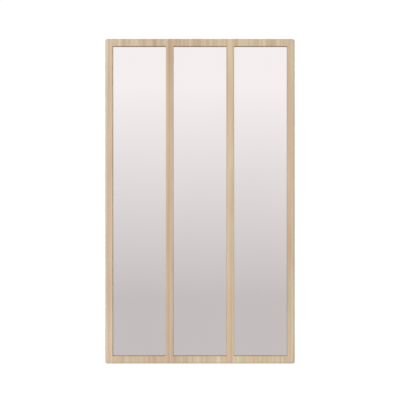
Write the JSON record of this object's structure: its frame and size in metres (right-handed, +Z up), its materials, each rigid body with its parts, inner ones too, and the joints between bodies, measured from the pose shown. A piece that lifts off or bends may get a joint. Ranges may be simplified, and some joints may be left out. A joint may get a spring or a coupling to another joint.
{
  "type": "rectangular wall mirror",
  "caption": "Tall rectangular wall mirror: a flat oak-look frame with rounded corners and slim mullions over tall mirror panes, hung on D-rings behind.",
  "frame": {"origin": "centre of the wall plane, behind the middle of the mirror, which the four bumpers touch", "axes": "+Z up, +X to the right as seen from the front, +Y into the wall; the mirror faces -Y"},
  "size_m": [0.7, 0.027, 1.2],
  "materials": {
    "oak_foil": "pale oak decor foil on fibreboard, satin",
    "beech": "bare turned beech",
    "silvered_glass": "float glass silvered behind",
    "foam": "white polyethylene foam sheet",
    "hardboard": "brown hardboard, smooth face out",
    "zinc_steel": "zinc-plated steel",
    "rubber": "moulded black rubber"
  },
  "bodies": {
    "root": {"left_stile": "oak_foil", "right_stile": "oak_foil", "top_rail": "oak_foil", "bottom_rail": "oak_foil", "left_mullion": "oak_foil", "right_mullion": "oak_foil", "corner_dowels": "beech", "mullion_dowels": "beech", "left_pane": "silvered_glass", "centre_pane": "silvered_glass", "right_pane": "silvered_glass", "left_foam": "foam", "centre_foam": "foam", "right_foam": "foam", "back_board": "hardboard", "back_screws": "zinc_steel", "left_strap": "zinc_steel", "right_strap": "zinc_steel", "strap_screws": "zinc_steel", "bumper_top_left": "rubber", "bumper_top_right": "rubber", "bumper_bottom_left": "rubber", "bumper_bottom_right": "rubber"},
    "left_ring": {"left_ring": "zinc_steel"},
    "right_ring": {"right_ring": "zinc_steel"}
  },
  "joints": [
    {"name": "left_ring_turn", "type": "hinge", "parent": "root", "child": "left_ring", "pos_m": [-0.3395, -0.00347, 0.45], "axis": [1, 0, 0], "range_deg": [0, 180]},
    {"name": "right_ring_turn", "type": "hinge", "parent": "root", "child": "right_ring", "pos_m": [0.3395, -0.00347, 0.45], "axis": [1, 0, 0], "range_deg": [0, 180]}
  ]
}
